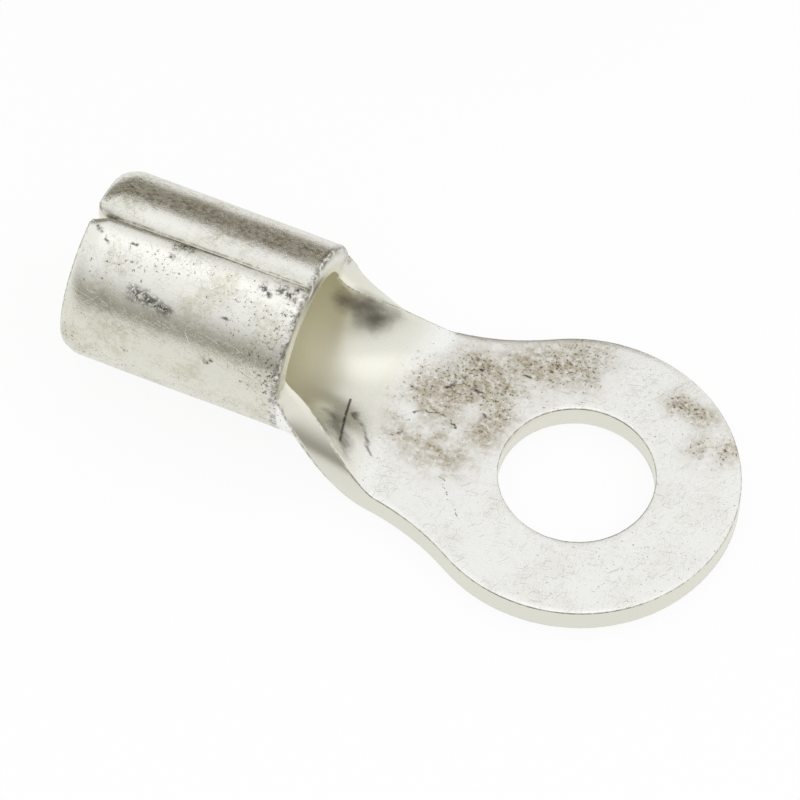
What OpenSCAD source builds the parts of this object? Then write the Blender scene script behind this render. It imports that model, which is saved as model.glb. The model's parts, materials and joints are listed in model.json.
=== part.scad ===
// Uninsulated crimp ring terminal, stamped and rolled from one piece of tin-plated copper sheet.
// The stud hole's axis is +Z, and the wire enters the barrel from -X, along +X.
// The origin is the centre of the stud hole, on the underside that the palm and the barrel share.
// Lengths are in millimetres.

/* [Sheet] */
// Thickness of the copper sheet, and so of the palm and of the barrel's wall
sheet_t = 2; // [1.6:0.1:2.4]

/* [Ring] */
// Diameter of the hole for the stud
stud_hole_d = 10.5; // [8.4:0.1:13]
// Outer diameter of the ring round the hole
ring_d = 22; // [19:0.1:26]
// Rolled-in rim that the punch leaves at the top of the hole
hole_rim = 0.15; // [0.05:0.05:0.4]

/* [Neck] */
// Width of the neck at its waist
neck_w = 14.2; // [12:0.1:16]
// Distance from the stud hole's axis to the waist, where the neck starts to flare
waist_x = 14.4; // [13:0.1:15.5]
// Radius with which the sheet's edge flares from the waist towards the barrel
flare_r = 5.7; // [4:0.1:8]
// Distance from the stud hole's axis to where the flat palm starts to curl
flat_x = 11.6; // [10.5:0.1:12.5]

/* [Barrel] */
// Outer diameter of the rolled barrel
barrel_d = 13; // [12:0.1:15]
// Length of the barrel, from its front rim to the wire end
barrel_len = 15.7; // [11:0.1:20]
// Distance from the stud hole's axis to the barrel's front rim
rim_x = 19.3; // [18:0.1:22]
// Length next to the front rim over which the open sheet keeps the barrel's full curl
curl_land = 0.5; // [0.1:0.1:1.5]
// Rounded-off edge round the outside of the front rim
rim_bevel = 0.3; // [0.1:0.05:0.5]

/* [Wire end] */
// Length along the barrel of the bevel round the outside of the wire end
bevel_len = 1.1; // [0.4:0.1:2]
// Depth of that bevel into the wall
bevel_in = 0.45; // [0.2:0.05:0.8]
// Chamfer round the inside of the wire end, which leads the strands in
lead_in = 0.35; // [0.1:0.05:0.6]

/* [Seam] */
// Angle round the barrel from its top to the seam
seam_turn = 4; // [-10:1:10]
// Width of the groove where the sheet's two edges meet along the barrel
seam_w = 0.8; // [0.3:0.1:1.6]
// Depth of that groove
seam_in = 0.3; // [0.1:0.05:0.8]
// Width of the open notch at the wire end, where the seam isn't brazed
notch_w = 1; // [0.4:0.1:1.6]
// Length of the notch along the barrel
notch_len = 0.8; // [0.3:0.1:2]
// Depth of the notch into the wall
notch_in = 1.1; // [0.5:0.1:1.5]

/* [Hidden] */

$fn = 180;
tin = "#cfcdc5";

// How far the curled sheet is let into the palm and the barrel, and how far it stays inside their faces
root = 0.6;
inset = 0.02;
// How far a cutter reaches past the face that it cuts
past = 1;
// How far the neck's hollow sides bite into the ring, so that the two outlines cross cleanly
bite = 0.01;
// Most of its own radius that the flare's arc may run through before the edge goes on straight
flare_limit = 0.97;

// Rows of the curled sheet along the flare and on to the palm, and columns across it
flare_rows = 16;
curl_rows = 8;
cols = 24;
// Step used to take a slope
slope_step = 0.01;

bore_d = barrel_d - 2 * sheet_t;
axis_z = barrel_d / 2;
wire_x = rim_x + barrel_len;
// Radius of the barrel to the middle of the sheet, and the curl that this gives
mid_r = (barrel_d - sheet_t) / 2;
full_curl = 1 / mid_r;
// Radius of the neck's hollow sides, which touch the ring and are parallel to the axis at the waist
neck_r = (pow(waist_x, 2) + pow(neck_w / 2, 2) - pow(ring_d / 2, 2)) / (ring_d - neck_w);
neck_centre_y = neck_w / 2 + neck_r;
// Where a hollow side touches the ring
touch_x = waist_x * (ring_d / 2) / (ring_d / 2 + neck_r);

// Rises smoothly from 0 to 1 as t goes from 0 to 1
function ease(t) = let(c = min(1, max(0, t))) c * c * (3 - 2 * c);

// Curl of the sheet, as 1 over its radius, at x
function curl(x) = full_curl * ease((-flat_x - x) / (rim_x - curl_land - flat_x));

// How far an arc of radius r, level at its start, has risen after the distance d
function arc_rise(r, d) = r - sqrt(pow(r, 2) - pow(d, 2));
// Half the width of the unrolled sheet at x: the waist, the hollow neck and the flare up to the rim
function half_w(x) =
    neck_w / 2
    + arc_rise(neck_r, max(0, x + waist_x))
    + arc_rise(flare_r, min(flare_limit * flare_r, rim_x - waist_x, max(0, -x - waist_x)));

// Point in the middle of the sheet's thickness, at x and at the distance s across from the centre line
function mid_point(x, s) =
    let(k = max(curl(x), 1e-6), turn = k * s * 180 / PI)
    [x, sin(turn) / k, sheet_t / 2 + (1 - cos(turn)) / k];

// Direction square to the sheet there, towards its upper or inner face
function face_normal(x, s) =
    let(along = mid_point(x + slope_step, s) - mid_point(x - slope_step, s),
        across = mid_point(x, s + slope_step) - mid_point(x, s - slope_step),
        n = cross(along, across))
    n / norm(n);

// Point on the upper face (side = 1) or the lower face (side = -1)
function sheet_point(x, s, side) =
    mid_point(x, s) + side * (sheet_t / 2 - inset) * face_normal(x, s);

// Places of the rows: one inside the barrel's wall, then closest at the rim, where the edge is
// steepest, and on from the waist to the palm
row_x = concat(
    [-rim_x - root],
    [for (i = [0 : flare_rows]) -waist_x - (rim_x - waist_x) * sin(90 * (1 - i / flare_rows))],
    [for (i = [1 : curl_rows]) -waist_x + (waist_x - flat_x) * i / curl_rows],
    [-flat_x + root]);

// The flat blank's outline where the palm is still flat: ring and hollow-sided neck
module palm_outline() {
    circle(d = ring_d);
    difference() {
        translate([-flat_x, -ring_d / 2]) square([flat_x - touch_x, ring_d]);
        for (side = [-1, 1])
            translate([-waist_x, side * neck_centre_y]) circle(r = neck_r + bite);
    }
}

module palm() {
    difference() {
        linear_extrude(height = sheet_t) palm_outline();
        translate([0, 0, -past]) cylinder(d = stud_hole_d, h = sheet_t + 2 * past);
        translate([0, 0, sheet_t - hole_rim])
            cylinder(d1 = stud_hole_d, d2 = stud_hole_d + 2 * hole_rim, h = hole_rim);
    }
}

// The sheet between palm and barrel, which curls from flat to the barrel's full round
module curled_sheet() {
    rows = len(row_x);
    ring = 2 * (cols + 1);
    points = [
        for (x = row_x) let(w = half_w(x) - inset) each concat(
            [for (j = [0 : cols]) sheet_point(x, w * (2 * j / cols - 1), -1)],
            [for (j = [0 : cols]) sheet_point(x, w * (1 - 2 * j / cols), 1)])
    ];
    skin = [
        for (i = [0 : rows - 2], j = [0 : ring - 1])
            let(a = i * ring + j, b = i * ring + (j + 1) % ring)
            each [[a, b + ring, b], [a, a + ring, b + ring]]
    ];
    first = [
        for (j = [0 : cols - 1]) let(a = j, b = j + 1, c = ring - 2 - j, d = ring - 1 - j)
            each [[a, b, c], [a, c, d]]
    ];
    last = [for (f = first) [for (k = [2, 1, 0]) f[k] + (rows - 1) * ring]];
    polyhedron(points = points, faces = concat(skin, first, last));
}

// The rolled tube, bevelled outside at both ends and eased inside at the wire end
module barrel_tube() {
    translate([-rim_x, 0, axis_z])
        rotate([0, -90, 0])
            rotate_extrude()
                polygon([
                    [bore_d / 2, 0],
                    [barrel_d / 2 - rim_bevel, 0],
                    [barrel_d / 2, rim_bevel],
                    [barrel_d / 2, barrel_len - bevel_len],
                    [barrel_d / 2 - bevel_in, barrel_len],
                    [bore_d / 2 + lead_in, barrel_len],
                    [bore_d / 2, barrel_len - lead_in]
                ]);
}

// A V-shaped cutter along the seam, from the wire end for the length given
module seam_cutter(width, depth, length) {
    height = depth + past;
    half = width / 2 * height / depth;
    translate([-wire_x - past, 0, axis_z])
        rotate([seam_turn, 0, 0])
            translate([0, 0, barrel_d / 2 - depth])
                rotate([90, 0, 90])
                    linear_extrude(height = length + past)
                        polygon([[0, 0], [half, height], [-half, height]]);
}

module barrel() {
    difference() {
        barrel_tube();
        seam_cutter(seam_w, seam_in, barrel_len + past);
        seam_cutter(notch_w, notch_in, notch_len);
    }
}

module ring_terminal() {
    color(tin) union() {
        palm();
        curled_sheet();
        barrel();
    }
}

ring_terminal();
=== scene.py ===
# Uninsulated crimp ring terminal, stamped and rolled from one tin-plated copper sheet.
# The mesh is made the way the real one is: a flat blank with die-rounded edges is rolled up, and
# its two long edges are brazed together. Lengths are metres, +X points from the barrel to the
# ring's tip, and z = 0 is the underside.
import json
import math

import bmesh
import bpy
from mathutils import Matrix, Vector, noise


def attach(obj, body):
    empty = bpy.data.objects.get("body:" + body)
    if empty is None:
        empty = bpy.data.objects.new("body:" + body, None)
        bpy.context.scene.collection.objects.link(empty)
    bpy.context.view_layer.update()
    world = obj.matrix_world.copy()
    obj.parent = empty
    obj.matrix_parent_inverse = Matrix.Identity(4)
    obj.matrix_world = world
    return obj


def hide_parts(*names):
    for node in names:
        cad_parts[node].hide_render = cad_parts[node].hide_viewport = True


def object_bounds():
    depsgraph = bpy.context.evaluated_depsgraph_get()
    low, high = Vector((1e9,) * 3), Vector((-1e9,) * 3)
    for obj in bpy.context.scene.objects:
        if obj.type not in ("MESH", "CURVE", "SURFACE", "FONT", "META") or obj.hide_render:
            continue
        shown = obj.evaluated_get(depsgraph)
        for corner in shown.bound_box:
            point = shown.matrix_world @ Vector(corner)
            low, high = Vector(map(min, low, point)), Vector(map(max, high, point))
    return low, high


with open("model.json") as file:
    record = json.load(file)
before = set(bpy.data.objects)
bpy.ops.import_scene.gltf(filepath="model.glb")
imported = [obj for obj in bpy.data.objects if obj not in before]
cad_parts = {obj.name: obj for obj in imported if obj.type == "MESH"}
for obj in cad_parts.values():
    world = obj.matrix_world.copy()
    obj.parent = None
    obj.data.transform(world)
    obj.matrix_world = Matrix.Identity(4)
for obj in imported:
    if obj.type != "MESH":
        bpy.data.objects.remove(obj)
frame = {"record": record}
cad_box = [list(corner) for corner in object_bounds()]

MM = 0.001

# ------------------------------------------------------------------ sizes, from the frame's record

MOUNTS = {m["name"]: m for m in frame["record"]["mounts"]}
HOLE_R = MOUNTS["stud_hole"]["dims"]["r_mm"] * MM
BORE_R = MOUNTS["wire_bore"]["dims"]["r_mm"] * MM
BARREL_LEN = MOUNTS["wire_bore"]["dims"]["length_mm"] * MM
SHEET = MOUNTS["palm_top"]["pos_m"][2]
BARREL_R = cad_box[1][2] / 2
WIRE_X = -cad_box[0][0]
RIM_X = WIRE_X - BARREL_LEN
RING_R = cad_box[1][0]
MID_R = (BARREL_R + BORE_R) / 2
# Half the width of the blank at the barrel: half the way round the middle of the sheet
HALF_ROUND = math.pi * MID_R

# Neck, flare and curl, as on the solid
NECK_HALF = 7.1 * MM
WAIST_X = 14.4 * MM
FLARE_R = 5.7 * MM
FLAT_X = 11.6 * MM
CURL_LAND = 0.5 * MM
NECK_R = (WAIST_X**2 + NECK_HALF**2 - RING_R**2) / (2 * (RING_R - NECK_HALF))
# Where the neck's hollow sides touch the ring
TOUCH_X = WAIST_X * RING_R / (RING_R + NECK_R)
TOUCH_Y = math.sqrt(RING_R**2 - TOUCH_X**2)

# Angle round the barrel from its top to the seam, and the half width beyond which the sheet turns
SEAM_TURN = math.radians(4)
SEAM_TURN_FROM = 10.5 * MM
# How much of the seam's groove the braze fills, at the wire end and at the front rim
BRAZE_AT_WIRE = 0.85
BRAZE_AT_RIM = 1.0
# The braze starts this far from the wire end and is whole after this much more
BRAZE_START = 1.2 * MM
BRAZE_RUN_IN = 1 * MM
# Along the barrel, from 0 at the wire end to 1: the filling changes by this slope and offset
BRAZE_SLOPE = 1.6
BRAZE_OFFSET = 0.2
# The groove reaches this many outer roundings from the seam
GROOVE_REACH = 1.2
# The seam lies in a soft valley, deepest at the wire end
VALLEY_HALF = 1.3 * MM
VALLEY_DEPTH = 0.36 * MM
# The share of its depth that the valley loses towards the front rim
VALLEY_FADE = 0.6
# The open notch at the wire end of the seam: its half width, its length, the power of its curve,
# and how many of its lengths of the sheet it draws along
NOTCH_HALF = 0.75 * MM
NOTCH_LEN = 0.7 * MM
NOTCH_POWER = 1.5
NOTCH_PULL = 3

# Rounding that the die leaves on the outer face's edges and on the inner face's
OUTER_ROUND = 0.32 * MM
INNER_ROUND = 0.16 * MM
# Bevel round the outside of the wire end: its length, its depth and the power of its curve
WIRE_BEVEL_LEN = 1.1 * MM
WIRE_BEVEL_IN = 0.45 * MM
WIRE_BEVEL_POWER = 1.3
# Rounding of the blank's two corners at the wire end, where the notch opens
CORNER_ROUND = 0.5 * MM

# Handling has left shallow dents, this deep at most and about this far apart
DENT_DEPTH = 0.05 * MM
DENT_SIZE = 3 * MM
# The dents' pattern runs this much faster through the sheet, so that its two faces differ
DENT_THROUGH = 4

# Tolerances: the step for slopes on the sheet, the least curl, which stands for flat, what counts
# as the same place on the blank, what lies on the seam, and how close vertices are to be joined
STEP = 0.01 * MM
FLAT_CURL = 1e-3
SAME_PLACE = 0.01 * MM
ON_SEAM = 0.001 * MM
WELD = 0.02 * MM
# An edge belongs to a face's rim when it is this share of the sheet from the middle and this sharp
RIM_SHARE = 0.49
RIM_ANGLE = math.radians(60)

# Cells of the blank: round the ring, out from the hole, across the neck, along each stretch
RING_CELLS = 96
RING_ROWS = 7
NECK_COLS = 30
# The share of the neck's half width that the outermost column takes, so that the edge's rounding
# has room
EDGE_COL = 0.13
# How far the bow on which the neck's cells start reaches over the ring
NECK_BOW = 2.2 * MM
PALM_ROWS = 8
BEND_ROWS = 8
FLARE_ROWS = 12
BARREL_ROWS = 26
SIDE_COLS = 10
# The side columns crowd towards the seam
SIDE_CROWD = 1.2

# Colours of the plate and of the studio
TIN = "#f7f7f4"
# Duller cream tone of the cut edges: partly the sheared edge's own, partly a painted reflection of the
# shaded floor beside the terminal
CUT_EDGE_TONE_AND_SHADE = "#e1e0d4"
BORE_TIN = "#fdfae8"
FILM = "#cbc8b4"
# Film on the barrel, which also carries painted shade on its lower sides
BARREL_FILM_AND_SHADE = "#d3d1be"
PALM_FILM = "#e0dfdb"
# Grey of the scuffs, also painted down the seam's valley as shade
SCUFF_AND_SEAM_SHADE = "#aaa79a"
STAIN = "#aca085"
# Dark tone painted on the throat's walls as a dark reflection
DARK_REFLECTION_TONE = "#4c4338"
DIRT = "#5f5646"
BLACK_DIRT = "#2c2620"
GLINT = "#fdfdfb"
WHITE = "#ffffff"

# Scuffs: direction in degrees, length and width in millimetres, and the noise levels they lie between
SCUFFS = (
    (12, 1.5, 0.12, 0.60, 0.70), (-38, 1.1, 0.10, 0.61, 0.71), (67, 1.2, 0.11, 0.61, 0.71),
    (-71, 0.9, 0.10, 0.62, 0.72), (100, 1.4, 0.12, 0.62, 0.72),
)
# Bright scratches through the film, given in the same way
GLINT_SCUFF = (52, 3.0, 0.09, 0.70, 0.76)
# Wear placed on the flat sheet, in millimetres: start, end and half width of each stroke
STAINS = (
    ((-11.0, 1.8), (-7.4, 4.6), 4.6), ((-8.8, 5.4), (-3.2, 8.4), 3.6),
    ((-11.6, -0.8), (-8.4, -2.4), 3.2), ((-6.2, 3.4), (-7.0, 0.6), 2.6),
    ((7.2, 5.2), (8.4, 6.6), 2.4), ((4.0, 8.0), (6.2, 7.6), 1.6),
)
PALM_MARKS = (
    ((-12.2, -0.7), (-11.3, 0.6), 0.11), ((-11.3, 0.6), (-10.2, 0.8), 0.13),
    ((-10.2, 0.8), (-8.9, 0.3), 0.10), ((-12.8, 1.9), (-12.7, 2.0), 0.22),
    ((-12.1, -1.6), (-12.0, -1.5), 0.24), ((-9.1, 5.2), (-8.9, 5.1), 0.2),
    ((-8.6, -3.5), (-6.1, -6.2), 0.08), ((-8.8, 3.4), (-8.3, 3.2), 0.3), ((-7.6, 1.8), (-6.9, 1.7), 0.28),
    ((-10.6, 3.0), (-10.3, 3.4), 0.25), ((-6.2, 5.8), (-5.9, 6.0), 0.2),
)
THROAT_SCRATCH = ((-16.1, -0.8), (-15.6, -5.6), 0.16)
# Strokes where a dark reflection is painted on the throat's walls: start, end and half width
DARK_REFLECTION_STROKES = (
    ((-18.5, 7.3), (-17.2, 6.3), 1.8), ((-16.6, -3.4), (-15.4, -5.4), 1.3),
    ((-15.3, -1.9), (-13.4, -4.3), 0.35),
)
BARREL_MARKS = (
    ((-30.3, -13.3), (-28.9, -12.9), 0.8), ((-28.9, -12.9), (-27.7, -12.8), 0.65),
    ((-28.7, -16.9), (-28.0, -16.9), 0.55), ((-28.8, -16.0), (-28.6, -16.0), 0.35),
    ((-34.1, -16.3), (-33.9, -16.1), 0.4), ((-33.5, -15.6), (-33.4, -15.6), 0.3),
    ((-31.6, -16.0), (-31.5, -16.0), 0.28), ((-24.5, -10.7), (-24.3, -10.7), 0.34),
    ((-30.3, -9.3), (-30.1, -9.3), 0.3), ((-24.0, -13.8), (-23.8, -13.7), 0.36),
    ((-22.3, -16.2), (-21.9, -16.0), 0.6), ((-21.0, -16.5), (-20.2, -16.4), 0.65),
    ((-20.0, -17.0), (-19.8, -17.0), 0.4),
)
# A broken dark smear along the far side of the barrel
SMEAR = ((-33.5, 14.9), (-20.5, 14.9), 1.5)

# Noises that break up the wear: size of a blotch in millimetres, detail and roughness
NOISES = {
    "fine": (0.35, 4.0, 0.65), "crumb": (0.22, 3.0, 0.7), "patch": (2.6, 4.0, 0.6), "broad": (7.0, 2.0, 0.5),
}
# Detail and roughness of the noise that scuffs are drawn from, once it is stretched
SCUFF_DETAIL = 2.0
SCUFF_ROUGH = 0.6
# The wander of the listed wear: repeats in a millimetre, detail, and reach in millimetres
WANDER_SCALE = 1.1
WANDER_DETAIL = 3.0
WANDER_REACH = 1.3

# Each pair below is a value at which a share is 0 and one at which it is 1.
# Places along the flat sheet, in millimetres
BORE_X = (-12.5, -15.0)
DEEP_X = (-16.5, -20.5)
BARREL_X = (-19.0, -20.0)
PALM_X = (-15.0, -11.0)
RIM_DIRT_X = (-21.5, -19.6)
RIM_LINE_BACK_X = (-19.85, -19.5)
RIM_LINE_FRONT_X = (-19.0, -19.2)
# Distances across it
# The band beside the seam in which shade is painted into its valley
SEAM_SHADE_S = (HALF_ROUND / MM - 0.9, HALF_ROUND / MM - 0.1)
# Over these distances the barrel's painted shade fades in towards its belly
LOWER_SIDE_S = (14.5, 11.0)
# Nearness to one face of the sheet, where 1 lies on it
ON_FACE = (0.6, 0.9)
RIM_LINE_FACE = (0.5, 0.9)
# Share of cut edge, where 1 is all cut
OFF_CUT = (0.5, 0.1)
EDGE_DIRT_FROM = (0.12, 0.3)
EDGE_DIRT_TO = (0.75, 0.5)
# Noise levels
SCUFF_PATCH = (0.3, 0.6)
STAIN_PATCH = (0.26, 0.56)
STAIN_FINE = (0.18, 0.64)
FILM_LEVEL = (0.46, 0.68)
DIRTY_BROAD = (0.38, 0.62)
SPECK_LEVEL = (0.69, 0.76)
SCRATCH_FINE = (0.2, 0.5)
MARK_CRUMB = (0.36, 0.56)
SMEAR_FINE = (0.42, 0.66)
EDGE_FINE = (0.36, 0.6)
RIM_LINE_FINE = (0.34, 0.6)

# How much of the wear the bore is spared
BORE_SPARED = 0.9
# What the film's noise is made of
FILM_OF_PATCH = 0.6
FILM_OF_FINE = 0.4
# How dirty a place is: anywhere, more on the outer face, at the front rim and on a stain, and how
# much that lowers the level at which specks show
DIRT_ANYWHERE = 0.5
DIRT_OUTSIDE = 0.3
DIRT_AT_RIM = 0.5
DIRT_ON_STAIN = 1.1
DIRT_LIFT = 0.13
# The barrel's own film: the amount all over it, and what its belly and lower sides add, which is painted
# shade that makes the barrel darker and more khaki low down
FLANK_FILM = 0.28
LOWER_SIDE_SHADE = 0.34
# The blotched film: anywhere, and what the barrel adds
FILM_ANYWHERE = 0.2
FILM_ON_BARREL = 0.6

# Coats over the bare tin, from the lowest up: the strength of each and its colour. The dark reflection in
# the throat and the shade down the seam are painted, and the cut edges' tone and the barrel's film are
# partly painted reflection and shade.
COATS = (
    ("cut_edge_tone_and_shade", 1.0, CUT_EDGE_TONE_AND_SHADE), ("deep", 1.0, BORE_TIN), ("painted_dark_reflection", 0.75, DARK_REFLECTION_TONE),
    ("barrel_film_and_shade", 1.0, BARREL_FILM_AND_SHADE), ("palm_film", 0.4, PALM_FILM), ("film", 1.0, FILM),
    ("scuffs", 0.26, SCUFF_AND_SEAM_SHADE), ("stain", 0.85, STAIN), ("seam", 0.42, SCUFF_AND_SEAM_SHADE), ("smear", 0.55, DIRT),
    ("edge", 0.55, DIRT), ("rim_line", 0.62, DIRT), ("specks", 0.8, DIRT), ("marks", 0.9, BLACK_DIRT),
    ("glints", 0.7, GLINT),
)
# Roughness of clean tin, and what scuffs or stains and the depth of the bore add
TIN_ROUGH = 0.27
WORN_ROUGH = 0.14
DEEP_ROUGH = 0.2
# Relief: the fine grain stands up, scuffs and bright scratches are cut in
GRAIN_RELIEF = 0.6
SCUFF_RELIEF = 0.25
RELIEF_STRENGTH = 0.8
RELIEF_DEPTH = 0.03 * MM

# ------------------------------------------------------------------ studio

TENT = WHITE
ROOM = "#8f8b7f"
CARD = "#918b7d"

# The tent darkens where a direction's y falls from one value to the other, and its z likewise
NEAR_FROM = -0.1
NEAR_FULL = -0.9
LOW_CLEAR = 0.9
LOW_FULL = 0.0
# The lamp's patch on top of the tent: where it starts, where it is full, and how bright it is
LAMP_EDGE = 0.9
LAMP_FULL = 0.99
LAMP_LIGHT = 1.28

# Card behind the terminal
CARD_WIDE = 0.12
CARD_HIGH = 0.052
CARD_X = -0.068
CARD_Y = 0.055

FLOOR_HALF = 2.0
FLOOR_GLOW = 0.9

# Camera: degrees round from -Y, up and rolled; the width of the view; the point it looks at
CAM_AZIMUTH = 20.83
CAM_ELEVATION = 56.26
CAM_ROLL = 2.88
CAM_LENS = 500
CAM_SENSOR = 36
VIEW_WIDE = 53.56 * MM
LOOK_AT = (-13.54 * MM, 1.88 * MM, 0)


# ------------------------------------------------------------------ form of the rolled sheet

def ease(t):
    c = min(1.0, max(0.0, t))
    return c * c * (3 - 2 * c)


def curl(x):
    """1 over the sheet's radius at x: 0 on the palm, full in the barrel."""
    return ease((-FLAT_X - x) / (RIM_X - CURL_LAND - FLAT_X)) / MID_R


def arc_rise(r, d):
    return r - math.sqrt(r * r - d * d)


def half_width(x):
    """Half the width of the unrolled neck and flare at x."""
    neck = arc_rise(NECK_R, max(0.0, x + WAIST_X))
    flare = arc_rise(FLARE_R, min(RIM_X - WAIST_X, max(0.0, -x - WAIST_X)))
    return NECK_HALF + neck + flare


def mid_point(x, s):
    """The middle of the sheet at x and the distance s across, once rolled."""
    k = max(curl(x), FLAT_CURL)
    shift = ease((abs(s) - SEAM_TURN_FROM) / (HALF_ROUND - SEAM_TURN_FROM)) * curl(x) * MID_R
    turn = k * s + SEAM_TURN * shift
    return Vector((x, math.sin(turn) / k, SHEET / 2 + (1 - math.cos(turn)) / k))


def rolled(x, s, height):
    """A point of the blank, height above its middle, once rolled."""
    along = mid_point(x + STEP, s) - mid_point(x - STEP, s)
    across = mid_point(x, s + STEP) - mid_point(x, s - STEP)
    return mid_point(x, s) + height * along.cross(across).normalized()


# ------------------------------------------------------------------ the flat blank

def column_shares():
    """Places of the neck's columns, from -1 to 1, with a wide column at each edge."""
    inner = NECK_COLS - 2
    middle = [(2 * j / inner - 1) * (1 - EDGE_COL) for j in range(inner + 1)]
    return [-1.0, *middle, 1.0]


def ring_rows(bm):
    """The ring, from the hole's edge out; returns its outer vertices in order of angle."""
    shares = column_shares()
    touch = math.atan2(TOUCH_Y, TOUCH_X)
    free = RING_CELLS - NECK_COLS
    # Angles from -X, evenly spaced at the hole; the outer ends lie on a shallow bow where the neck
    # starts, in line with its columns, and on the ring's edge elsewhere
    angles = [touch * (2 * j / NECK_COLS - 1) for j in range(NECK_COLS + 1)]
    ends = [Vector((-TOUCH_X - NECK_BOW * (1 - u * u), u * TOUCH_Y, 0)) for u in shares]
    for j in range(1, free):
        angles.append(touch + (2 * math.pi - 2 * touch) * j / free)
        ends.append(RING_R * Vector((-math.cos(angles[-1]), math.sin(angles[-1]), 0)))
    made = bmesh.ops.create_circle(bm, cap_ends=False, segments=RING_CELLS, radius=HOLE_R)
    loop = sorted(made["verts"], key=lambda v: math.atan2(v.co.y, v.co.x) % (2 * math.pi))
    for i in range(RING_ROWS + 1):
        t = i / RING_ROWS
        if i:
            edges = [e for e in bm.edges if e.verts[0] in loop and e.verts[1] in loop]
            new = bmesh.ops.extrude_edge_only(bm, edges=edges)["geom"]
            partner = {}
            for fresh in (g for g in new if isinstance(g, bmesh.types.BMVert)):
                old = next(e.other_vert(fresh) for e in fresh.link_edges if e.other_vert(fresh) in loop)
                partner[old] = fresh
            loop = [partner[v] for v in loop]
        for v, angle, end in zip(loop, angles, ends):
            start = HOLE_R * Vector((-math.cos(angle), math.sin(angle), 0))
            v.co = start.lerp(end, t)
    return loop


def next_row(bm, row, places):
    """Extrudes the row of vertices once and puts the new ones at the places given."""
    line = set(row)
    edges = [e for e in bm.edges if e.verts[0] in line and e.verts[1] in line and e.is_boundary]
    edges = [e for e in edges if abs(row.index(e.verts[0]) - row.index(e.verts[1])) == 1]
    new = bmesh.ops.extrude_edge_only(bm, edges=edges)["geom"]
    fresh = [g for g in new if isinstance(g, bmesh.types.BMVert)]
    out = []
    for old, place in zip(row, places):
        v = next(f for f in fresh if any(e.other_vert(f) is old for e in f.link_edges))
        v.co = (*place, 0)
        out.append(v)
    return out


def flat_blank(bm):
    """The punched blank in its own plane: ring, neck, flare and the sheet for the barrel."""
    shares = column_shares()
    outer = ring_rows(bm)
    row = outer[:NECK_COLS + 1]
    start = [v.co.copy() for v in row]
    # From the ring's edge to the line where the curl starts
    for i in range(1, PALM_ROWS + 1):
        t = i / PALM_ROWS
        side_x = -TOUCH_X + (TOUCH_X - FLAT_X) * t
        plain = TOUCH_Y + (half_width(-FLAT_X) - TOUCH_Y) * t
        places = []
        for u, v in zip(shares, start):
            y = v.y + (u * half_width(-FLAT_X) - v.y) * t
            places.append((v.x + (-FLAT_X - v.x) * t, y + u * (half_width(side_x) - plain)))
        row = next_row(bm, row, places)
    # Along the bend, then along the flare's arc, whose rows keep an even step of its angle
    turn = math.asin((RIM_X - WAIST_X) / FLARE_R)
    stops = [-FLAT_X - (WAIST_X - FLAT_X) * i / BEND_ROWS for i in range(1, BEND_ROWS + 1)]
    stops += [-WAIST_X - FLARE_R * math.sin(turn * i / FLARE_ROWS) for i in range(1, FLARE_ROWS + 1)]
    for x in stops:
        row = next_row(bm, row, [(x, u * half_width(x)) for u in shares])
    # The barrel's sheet: on from the flare, then out to both sides as far as the seam
    rim_half = half_width(-RIM_X)
    sides = [[row[0]], [row[-1]]]
    for i in range(1, BARREL_ROWS + 1):
        x = -RIM_X - BARREL_LEN * i / BARREL_ROWS
        row = next_row(bm, row, [(x, u * rim_half) for u in shares])
        sides[0].append(row[0])
        sides[1].append(row[-1])
    for side, sign in zip(sides, (-1, 1)):
        for i in range(1, SIDE_COLS + 1):
            y = sign * (HALF_ROUND - (HALF_ROUND - rim_half) * (1 - i / SIDE_COLS) ** SIDE_CROWD)
            side = next_row(bm, side, [(v.co.x, y) for v in side])


def is_corner(edge):
    """True for an upright edge at one of the blank's two wire-end corners."""
    return all(abs(v.co.x + WIRE_X) < SAME_PLACE and abs(abs(v.co.y) - HALF_ROUND) < SAME_PLACE
               for v in edge.verts)


def thick_blank(bm):
    """Gives the blank its thickness and the roundings that the die and the trimming leave."""
    bmesh.ops.recalc_face_normals(bm, faces=bm.faces)
    bmesh.ops.solidify(bm, geom=bm.faces[:], thickness=SHEET)
    low = min(v.co.z for v in bm.verts)
    bmesh.ops.translate(bm, verts=bm.verts, vec=(0, 0, -low - SHEET / 2))
    bmesh.ops.recalc_face_normals(bm, faces=bm.faces)
    bm.edges.ensure_lookup_table()
    settings = {"offset_type": "OFFSET", "profile": 0.5, "affect": "EDGES", "material": -1}
    corners = [e for e in bm.edges if is_corner(e)]
    bmesh.ops.bevel(bm, geom=corners, offset=CORNER_ROUND, segments=4, **settings)
    for sign, size in ((-1, OUTER_ROUND), (1, INNER_ROUND)):
        rims = [e for e in bm.edges
                if all(v.co.z * sign > RIM_SHARE * SHEET for v in e.verts)
                and e.calc_face_angle(0.0) > RIM_ANGLE]
        bmesh.ops.bevel(bm, geom=rims, offset=size, segments=3, **settings)


def mark_blank(bm):
    """Writes each corner's place on the flat blank, in millimetres, as the UV map, and each
    vertex's share of cut edge and its height through the sheet, so that wear follows the sheet."""
    place = bm.loops.layers.uv.new("sheet")
    cut = bm.verts.layers.float.new("cut")
    inner = bm.verts.layers.float.new("inner")
    for face in bm.faces:
        for loop in face.loops:
            loop[place].uv = (loop.vert.co.x / MM, loop.vert.co.y / MM)
    for v in bm.verts:
        v[cut] = sum(1 - abs(f.normal.z) for f in v.link_faces) / len(v.link_faces)
        v[inner] = 0.5 + v.co.z / SHEET


def open_seam(bm):
    """Takes away the faces on which the two long edges will meet."""
    inside = [f for f in bm.faces if all(abs(v.co.y) > HALF_ROUND - ON_SEAM for v in f.verts)]
    bmesh.ops.delete(bm, geom=inside, context="FACES")


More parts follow.
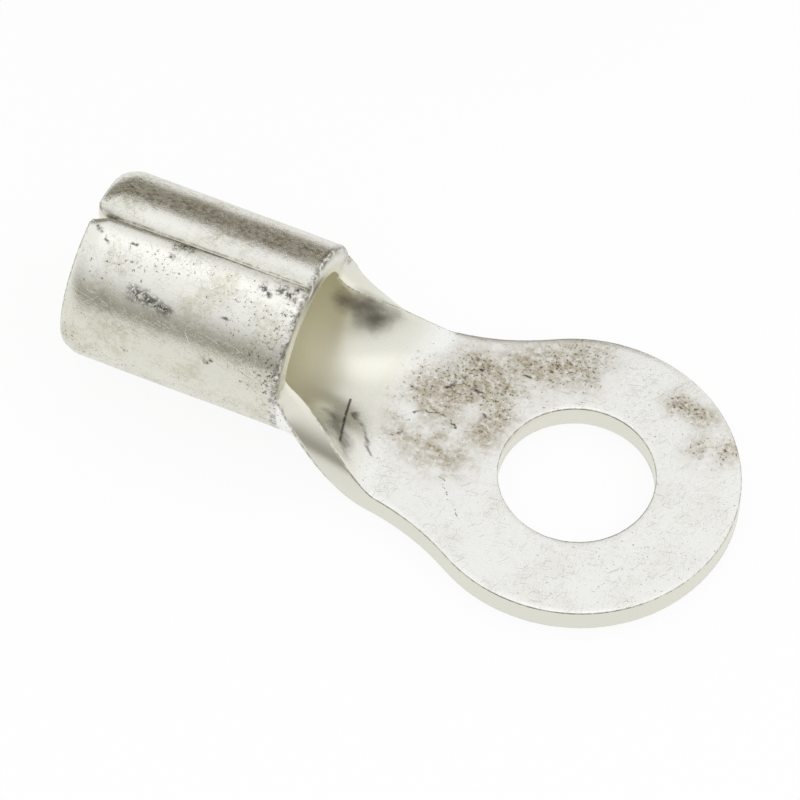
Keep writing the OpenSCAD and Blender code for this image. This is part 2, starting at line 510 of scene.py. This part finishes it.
def worn_height(x, s, height):
    """The height of a point over the sheet's middle, with the wire end's bevel, the braze in the
    seam's groove, the valley beside it and the shallow dents of handling."""
    if height < 0:
        bevel = max(0.0, 1 - (x + WIRE_X) / WIRE_BEVEL_LEN)
        height *= 1 - WIRE_BEVEL_IN * bevel**WIRE_BEVEL_POWER / (SHEET / 2)
        groove = abs(s) - (HALF_ROUND - OUTER_ROUND * GROOVE_REACH)
        if groove > 0:
            along = (x + WIRE_X) / BARREL_LEN
            towards_rim = ease(along * BRAZE_SLOPE - BRAZE_OFFSET)
            fill = BRAZE_AT_WIRE + (BRAZE_AT_RIM - BRAZE_AT_WIRE) * towards_rim
            fill *= ease((x + WIRE_X - BRAZE_START) / BRAZE_RUN_IN)
            height += (-SHEET / 2 - height) * fill
        valley = max(0.0, 1 - (HALF_ROUND - abs(s)) / VALLEY_HALF)
        height += VALLEY_DEPTH * valley**2 * (1 - VALLEY_FADE * ease((x + WIRE_X) / BARREL_LEN))
    wave = 0.5 + 0.5 * noise.noise(Vector((x, s, DENT_THROUGH * height)) / DENT_SIZE)
    return height * (1 - DENT_DEPTH * wave / (SHEET / 2))


def roll_up(bm):
    """Rolls the flat blank into the terminal and joins the seam."""
    for v in bm.verts:
        x, s, height = v.co
        notch = max(0.0, 1 - (HALF_ROUND - abs(s)) / NOTCH_HALF)
        pulled = ease(1 - (x + WIRE_X) / (NOTCH_PULL * NOTCH_LEN))
        moved = x + NOTCH_LEN * notch**NOTCH_POWER * pulled
        v.co = rolled(moved, s, worn_height(x, s, height))
    rims = {v for e in bm.edges if e.is_boundary for v in e.verts}
    bmesh.ops.remove_doubles(bm, verts=list(rims), dist=WELD)
    bmesh.ops.recalc_face_normals(bm, faces=bm.faces)


def terminal():
    """The whole terminal as one mesh."""
    bm = bmesh.new()
    flat_blank(bm)
    thick_blank(bm)
    bmesh.ops.subdivide_edges(bm, edges=bm.edges[:], cuts=1, use_grid_fill=True)
    mark_blank(bm)
    open_seam(bm)
    roll_up(bm)
    mesh = bpy.data.meshes.new("ring_terminal_metal")
    for face in bm.faces:
        face.smooth = True
    bm.to_mesh(mesh)
    bm.free()
    piece = bpy.data.objects.new("ring_terminal_metal", mesh)
    bpy.context.scene.collection.objects.link(piece)
    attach(piece, "root")
    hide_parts("ring_terminal")
    return piece


# ------------------------------------------------------------------ materials

def linear(code):
    """An sRGB hex colour as the linear RGBA that sockets take."""
    parts = [int(code[i:i + 2], 16) / 255 for i in (1, 3, 5)]
    return (*(c / 12.92 if c <= 0.04045 else ((c + 0.055) / 1.055) ** 2.4 for c in parts), 1)


class Nodes:
    """A node tree to which nodes are added by one call each."""

    def __init__(self, tree):
        tree.nodes.clear()
        self.tree = tree

    def add(self, kind, inputs=None, **settings):
        """Adds a node with its settings and links, and returns its outputs. An input's value is a
        constant or another node's output."""
        node = self.tree.nodes.new(kind)
        for key, value in settings.items():
            setattr(node, key, value)
        for key, value in (inputs or {}).items():
            socket = node.inputs[key]
            if isinstance(key, str) and not socket.enabled:
                socket = next(s for s in node.inputs if s.name == key and s.enabled)
            if isinstance(value, bpy.types.NodeSocket):
                self.tree.links.new(value, socket)
            else:
                socket.default_value = value
        return node.outputs


def joined(n, operation, *parts):
    """Runs shares together: MULTIPLY where all of them have to hold, MAXIMUM where any will do.
    A part is a share, or a value and the pair of levels between which its share rises softly."""
    out = None
    for part in parts:
        if isinstance(part, tuple):
            value, (low, high) = part
            part = n.add("ShaderNodeMapRange", {0: value, "From Min": low, "From Max": high},
                         interpolation_type="SMOOTHSTEP")[0]
        if out is None:
            out = part
        else:
            out = n.add("ShaderNodeMath", {0: out, 1: part}, operation=operation)[0]
    return out


def scuff_lines(n, sheet, angle, length, width, low, high):
    """Fine straight scuffs along one direction of the sheet."""
    turned = n.add("ShaderNodeMapping", {
        "Vector": sheet, "Rotation": (0, 0, math.radians(angle)), "Scale": (length, width, 1)},
        vector_type="TEXTURE")[0]
    lines = n.add("ShaderNodeTexNoise", {
        "Vector": turned, "Scale": 1.0, "Detail": SCUFF_DETAIL, "Roughness": SCUFF_ROUGH})["Fac"]
    return joined(n, "MULTIPLY", (lines, (low, high)))


def strokes(n, where, rows):
    """Soft strokes, each from its start to its end, given on the flat sheet."""
    marks = []
    for start, end, half_wide in rows:
        way = Vector((end[0] - start[0], end[1] - start[1], 0))
        rel = n.add("ShaderNodeVectorMath", {0: where, 1: (*start, 0)}, operation="SUBTRACT")[0]
        dot = n.add("ShaderNodeVectorMath", {0: rel, 1: way / way.length_squared},
                    operation="DOT_PRODUCT")["Value"]
        share = n.add("ShaderNodeClamp", {0: dot})[0]
        along = n.add("ShaderNodeVectorMath", {0: way, "Scale": share}, operation="SCALE")[0]
        away = n.add("ShaderNodeVectorMath", {0: rel, 1: along}, operation="DISTANCE")["Value"]
        marks.append((away, (half_wide, 0.0)))
    return joined(n, "MAXIMUM", *marks)


def tinned_copper():
    """Copper sheet, stamped and then dip-tinned. The tin gives a soft, slightly warm white gloss,
    duller where it is scuffed; it is stained on the tongue and carries crumbs of dirt."""
    mat = bpy.data.materials.new("tinned_copper")
    mat.use_nodes = True
    n = Nodes(mat.node_tree)
    place = n.add("ShaderNodeTexCoord")["Object"]
    space = n.add("ShaderNodeVectorMath", {0: place, "Scale": 1 / MM}, operation="SCALE")[0]
    sheet = n.add("ShaderNodeUVMap", uv_map="sheet")["UV"]
    cut = n.add("ShaderNodeAttribute", attribute_name="cut")["Fac"]
    inner = n.add("ShaderNodeAttribute", attribute_name="inner")["Fac"]
    outer = n.add("ShaderNodeMath", {0: 1.0, 1: inner}, operation="SUBTRACT")[0]
    axes = n.add("ShaderNodeSeparateXYZ", {0: sheet})
    x = axes["X"]
    across = n.add("ShaderNodeMath", {0: axes["Y"]}, operation="ABSOLUTE")[0]

    # the regions of the sheet: inside the bore, deep in it, and the faces, apart from cut edges
    bore = joined(n, "MULTIPLY", (x, BORE_X), (inner, ON_FACE))
    deep = joined(n, "MULTIPLY", (x, DEEP_X), (inner, ON_FACE))
    unspared = n.add("ShaderNodeMath", {0: bore, 1: -BORE_SPARED, 2: 1.0}, operation="MULTIPLY_ADD")[0]
    face = joined(n, "MULTIPLY", (cut, OFF_CUT), unspared)
    # the cut edges' coat: partly their own tone, partly a painted reflection of the shaded floor
    cut_edge_tone_and_shade = n.add("ShaderNodeMath", {0: 1.0, 1: face}, operation="SUBTRACT")[0]
    barrel = joined(n, "MULTIPLY", (x, BARREL_X), (outer, ON_FACE), face)
    not_barrel = n.add("ShaderNodeMath", {0: face, 1: barrel}, operation="SUBTRACT")[0]
    palm_film = joined(n, "MULTIPLY", not_barrel, (x, PALM_X))

    # the sheet's place, pushed about a little so that the listed stains and marks wander
    push = n.add("ShaderNodeTexNoise", {
        "Vector": space, "Scale": WANDER_SCALE, "Detail": WANDER_DETAIL})["Color"]
    centred = n.add("ShaderNodeVectorMath", {0: push, 1: (0.5, 0.5, 0.5)}, operation="SUBTRACT")[0]
    shift = n.add("ShaderNodeVectorMath", {0: centred, "Scale": WANDER_REACH}, operation="SCALE")[0]
    loose = n.add("ShaderNodeVectorMath", {0: sheet, 1: shift}, operation="ADD")[0]

    grain = {}
    for name, (size, detail, rough) in NOISES.items():
        grain[name] = n.add("ShaderNodeTexNoise", {
            "Vector": space, "Scale": 1 / size, "Detail": detail, "Roughness": rough})["Fac"]
    fine, crumb, patch = grain["fine"], grain["crumb"], grain["patch"]

    # scuffs in several directions, and bright scratches in one
    lines = [scuff_lines(n, sheet, *row) for row in SCUFFS]
    scuffs = joined(n, "MAXIMUM", *lines)
    scuffs = joined(n, "MULTIPLY", scuffs, face, (patch, SCUFF_PATCH))
    glints = joined(n, "MULTIPLY", scuff_lines(n, sheet, *GLINT_SCUFF), face)

    # tan stains on the tongue and beside the hole, broken up by the noises
    stain = joined(n, "MULTIPLY", strokes(n, loose, STAINS), (patch, STAIN_PATCH), (inner, ON_FACE),
                   (fine, STAIN_FINE))

    # the films: one on the barrel, weaker high on its flanks and heavier low down, where the extra is
    # painted shade, and a blotched one all over
    film_and_lower_shade = n.add("ShaderNodeMath", {
        0: joined(n, "MULTIPLY", (across, LOWER_SIDE_S)), 1: LOWER_SIDE_SHADE, 2: FLANK_FILM},
        operation="MULTIPLY_ADD")[0]
    barrel_film_and_shade = joined(n, "MULTIPLY", barrel, film_and_lower_shade)
    of_fine = n.add("ShaderNodeMath", {0: fine, 1: FILM_OF_FINE}, operation="MULTIPLY")[0]
    blotch = n.add("ShaderNodeMath", {0: patch, 1: FILM_OF_PATCH, 2: of_fine}, operation="MULTIPLY_ADD")[0]
    thick = n.add("ShaderNodeMath", {0: barrel, 1: FILM_ON_BARREL, 2: FILM_ANYWHERE},
                  operation="MULTIPLY_ADD")[0]
    film = joined(n, "MULTIPLY", (blotch, FILM_LEVEL), face, thick)

    # specks and crumbs, which lie in patches, at the front rim and on the stains
    outside = n.add("ShaderNodeMath", {0: outer, 1: DIRT_OUTSIDE, 2: DIRT_ANYWHERE},
                    operation="MULTIPLY_ADD")[0]
    dirty = joined(n, "MULTIPLY", (grain["broad"], DIRTY_BROAD), outside)
    near_rim = joined(n, "MULTIPLY", (x, RIM_DIRT_X), outer)
    dirty = n.add("ShaderNodeMath", {0: near_rim, 1: DIRT_AT_RIM, 2: dirty}, operation="MULTIPLY_ADD")[0]
    dirty = n.add("ShaderNodeMath", {0: stain, 1: DIRT_ON_STAIN, 2: dirty}, operation="MULTIPLY_ADD")[0]
    level = n.add("ShaderNodeMath", {0: dirty, 1: DIRT_LIFT, 2: crumb}, operation="MULTIPLY_ADD")[0]
    specks = joined(n, "MULTIPLY", (level, SPECK_LEVEL), face)

    # single marks, the scratch in the throat, painted dark reflection on its walls, and the smear on the
    # barrel
    scratch = joined(n, "MULTIPLY", strokes(n, sheet, (THROAT_SCRATCH,)), (fine, SCRATCH_FINE))
    palm_marks = joined(n, "MAXIMUM", strokes(n, loose, PALM_MARKS), scratch)
    palm_marks = joined(n, "MULTIPLY", palm_marks, (inner, ON_FACE))
    barrel_marks = joined(n, "MULTIPLY", strokes(n, loose, BARREL_MARKS), (outer, ON_FACE),
                          (crumb, MARK_CRUMB))
    marks = joined(n, "MAXIMUM", palm_marks, barrel_marks)
    painted_dark_reflection = joined(n, "MULTIPLY", strokes(n, loose, DARK_REFLECTION_STROKES), (inner, ON_FACE))
    smear = joined(n, "MULTIPLY", strokes(n, loose, (SMEAR,)), (outer, ON_FACE), (fine, SMEAR_FINE))

    # dirt on the edges of the sheet and along the front rim's outer edge, and painted shade in the valley
    # down the seam
    edge = joined(n, "MULTIPLY", (cut, EDGE_DIRT_FROM), (cut, EDGE_DIRT_TO), (fine, EDGE_FINE))
    rim_line = joined(n, "MULTIPLY", (x, RIM_LINE_BACK_X), (outer, RIM_LINE_FACE), (fine, RIM_LINE_FINE),
                      (x, RIM_LINE_FRONT_X))
    seam = joined(n, "MULTIPLY", (across, SEAM_SHADE_S), (outer, ON_FACE))

    shares = {
        "cut_edge_tone_and_shade": cut_edge_tone_and_shade, "deep": deep, "painted_dark_reflection": painted_dark_reflection, "barrel_film_and_shade": barrel_film_and_shade,
        "palm_film": palm_film, "film": film, "scuffs": scuffs, "stain": stain, "seam": seam,
        "smear": smear, "edge": edge, "rim_line": rim_line, "specks": specks, "marks": marks,
        "glints": glints,
    }
    colour = linear(TIN)
    for name, strength, code in COATS:
        share = joined(n, "MULTIPLY", shares[name], strength)
        colour = n.add("ShaderNodeMix", {"Factor": share, "A": colour, "B": linear(code)},
                       data_type="RGBA")[2]

    worn = joined(n, "MAXIMUM", scuffs, stain)
    rough = n.add("ShaderNodeMath", {0: worn, 1: WORN_ROUGH, 2: TIN_ROUGH}, operation="MULTIPLY_ADD")[0]
    rough = n.add("ShaderNodeMath", {0: deep, 1: DEEP_ROUGH, 2: rough}, operation="MULTIPLY_ADD")[0]
    cuts = n.add("ShaderNodeMath", {0: scuffs, 1: SCUFF_RELIEF, 2: glints}, operation="MULTIPLY_ADD")[0]
    raised = n.add("ShaderNodeMath", {0: fine, 1: GRAIN_RELIEF}, operation="MULTIPLY")[0]
    relief = n.add("ShaderNodeMath", {0: raised, 1: cuts}, operation="SUBTRACT")[0]
    relief = joined(n, "MULTIPLY", relief, face)
    bump = n.add("ShaderNodeBump", {
        "Height": relief, "Strength": RELIEF_STRENGTH, "Distance": RELIEF_DEPTH})[0]
    shader = n.add("ShaderNodeBsdfPrincipled", {
        "Base Color": colour, "Metallic": 1.0, "Roughness": rough, "Normal": bump})["BSDF"]
    n.add("ShaderNodeOutputMaterial", {"Surface": shader})
    return mat


# ------------------------------------------------------------------ stage, light and camera

def floor():
    """A plain white floor, which the camera and the metal see at full white, with its shadow."""
    bm = bmesh.new()
    bmesh.ops.create_grid(bm, x_segments=1, y_segments=1, size=FLOOR_HALF)
    mesh = bpy.data.meshes.new("floor")
    bm.to_mesh(mesh)
    bm.free()
    stage = bpy.data.objects.new("floor", mesh)
    bpy.context.scene.collection.objects.link(stage)
    # matt white paper, which glows a little to the camera so that it stays white
    mat = bpy.data.materials.new("white_floor")
    mat.use_nodes = True
    n = Nodes(mat.node_tree)
    path = n.add("ShaderNodeLightPath")
    rays = [path[name] for name in ("Is Camera Ray", "Is Glossy Ray", "Is Transmission Ray")]
    share = joined(n, "MULTIPLY", joined(n, "MAXIMUM", *rays), FLOOR_GLOW)
    matt = n.add("ShaderNodeBsdfDiffuse", {"Color": linear(WHITE)})[0]
    glow = n.add("ShaderNodeEmission", {"Color": linear(WHITE), "Strength": 1.0})[0]
    both = n.add("ShaderNodeMixShader", {0: share, 1: matt, 2: glow})[0]
    n.add("ShaderNodeOutputMaterial", {"Surface": both})
    mesh.materials.append(mat)


def dark_card():
    """A grey-brown card standing close behind the terminal, which only the metal sees. It makes
    the dark band along the far side of the barrel."""
    bm = bmesh.new()
    bmesh.ops.create_grid(bm, x_segments=1, y_segments=1, size=0.5)
    bmesh.ops.rotate(bm, verts=bm.verts, matrix=Matrix.Rotation(math.pi / 2, 3, "X"))
    bmesh.ops.translate(bm, verts=bm.verts, vec=(0, 0, 0.5))
    bmesh.ops.scale(bm, verts=bm.verts, vec=(CARD_WIDE, 1, CARD_HIGH))
    bmesh.ops.translate(bm, verts=bm.verts, vec=(CARD_X, CARD_Y, 0))
    mesh = bpy.data.meshes.new("dark_card")
    bm.to_mesh(mesh)
    bm.free()
    card = bpy.data.objects.new("dark_card", mesh)
    bpy.context.scene.collection.objects.link(card)
    card.visible_camera = False
    # evenly lit grey-brown card: one flat tone, so that its reflection is an even band
    mat = bpy.data.materials.new("grey_card")
    mat.use_nodes = True
    n = Nodes(mat.node_tree)
    glow = n.add("ShaderNodeEmission", {"Color": linear(CARD), "Strength": 1.0})[0]
    n.add("ShaderNodeOutputMaterial", {"Surface": glow})
    mesh.materials.append(mat)


def studio_sky():
    """A white tent all round and overhead, which grows darker low down on the near side."""
    world = bpy.data.worlds.new("studio")
    bpy.context.scene.world = world
    world.use_nodes = True
    n = Nodes(world.node_tree)
    way = n.add("ShaderNodeTexCoord")["Generated"]
    axes = n.add("ShaderNodeSeparateXYZ", {0: way})
    share = joined(n, "MULTIPLY", (axes["Y"], (NEAR_FROM, NEAR_FULL)), (axes["Z"], (LOW_CLEAR, LOW_FULL)))
    tone = n.add("ShaderNodeMix", {"Factor": share, "A": linear(TENT), "B": linear(ROOM)},
                 data_type="RGBA")[2]
    strength = n.add("ShaderNodeMapRange", {
        0: axes["Z"], "From Min": LAMP_EDGE, "From Max": LAMP_FULL, "To Min": 1.0, "To Max": LAMP_LIGHT},
        interpolation_type="SMOOTHSTEP")[0]
    light = n.add("ShaderNodeBackground", {"Color": tone, "Strength": strength})[0]
    n.add("ShaderNodeOutputWorld", {"Surface": light})


def camera():
    """A long lens looking down at the terminal from beside its ring."""
    azimuth, elevation, roll = (math.radians(a) for a in (CAM_AZIMUTH, CAM_ELEVATION, CAM_ROLL))
    side = Vector((math.cos(azimuth), math.sin(azimuth), 0))
    back = Vector((math.sin(azimuth) * math.cos(elevation), -math.cos(azimuth) * math.cos(elevation),
                   math.sin(elevation)))
    turn = Matrix.Rotation(roll, 3, back)
    right, up = turn @ side, turn @ back.cross(side)
    data = bpy.data.cameras.new("camera")
    data.lens = CAM_LENS
    data.sensor_width = CAM_SENSOR
    distance = VIEW_WIDE * CAM_LENS / CAM_SENSOR
    data.clip_end = 10 * distance
    cam = bpy.data.objects.new("camera", data)
    bpy.context.scene.collection.objects.link(cam)
    pose = Matrix((right, up, back)).transposed().to_4x4()
    pose.translation = Vector(LOOK_AT) + back * distance
    cam.matrix_world = pose
    bpy.context.scene.camera = cam


bpy.context.scene.view_settings.view_transform = "Standard"
metal = terminal()
metal.data.materials.append(tinned_copper())
floor()
dark_card()
studio_sky()
camera()
